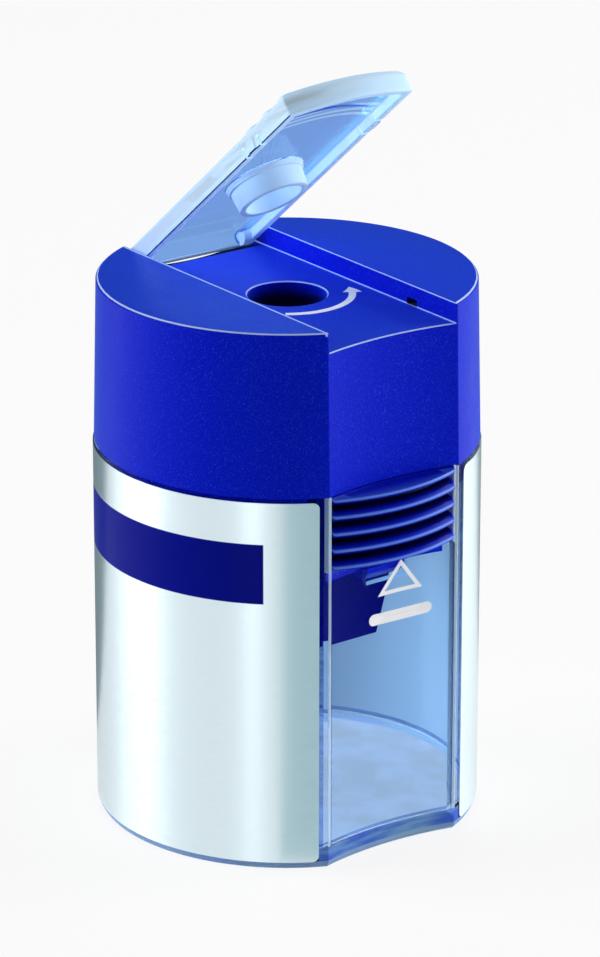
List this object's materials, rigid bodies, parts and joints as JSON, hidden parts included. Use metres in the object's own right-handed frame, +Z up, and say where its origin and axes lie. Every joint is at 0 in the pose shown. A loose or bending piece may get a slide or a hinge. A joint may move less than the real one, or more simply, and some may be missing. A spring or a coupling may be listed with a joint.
{
  "type": "tub pencil sharpener",
  "caption": "Hand-held pencil sharpener: a clear tub with scooped front and back, a push-on head holding the metal sharpener, a press latch and a hinged clear lid over the pencil hole.",
  "frame": {"origin": "centre of the flat base, under the pencil hole's axis", "axes": "+Z up along the pencil hole, -Y towards the press tongue and the lid's free edge, +X to the right seen from the front"},
  "size_m": [0.0402, 0.0382, 0.081],
  "materials": {
    "clear_plastic": "clear polystyrene with a faint blue tint",
    "clear_lid_plastic": "clear polystyrene with a faint blue tint",
    "silver_foil": "satin silver foil label with one plain navy stripe",
    "blue_plastic": "royal blue moulding with a fine grain",
    "inner_plastic": "royal blue moulding, smooth",
    "light_alloy": "milled light alloy",
    "blade_steel": "ground steel"
  },
  "bodies": {
    "tub": {"tub": "clear_plastic", "label_left": "silver_foil", "label_right": "silver_foil"},
    "head": {"head_cover": "blue_plastic", "sharpener_holder": "inner_plastic", "sharpener_body": "light_alloy", "blade": "blade_steel", "blade_screw": "blade_steel"},
    "tongue": {"press_tongue": "blue_plastic"},
    "lid": {"lid": "clear_lid_plastic"}
  },
  "joints": [
    {"name": "head_lift", "type": "slide", "parent": "tub", "child": "head", "axis": [0, 0, 1], "range_m": [0, 0.03]},
    {"name": "lid_hinge", "type": "hinge", "parent": "head", "child": "lid", "pos_m": [0, 0.01636, 0.05655], "axis": [-1, 0, 0], "range_deg": [-40, 65]},
    {"name": "tongue_press", "type": "hinge", "parent": "head", "child": "tongue", "pos_m": [0, -0.01464, 0.04048], "axis": [1, 0, 0], "range_deg": [0, 6], "stiffness_Nm_per_rad": 0.2}
  ]
}
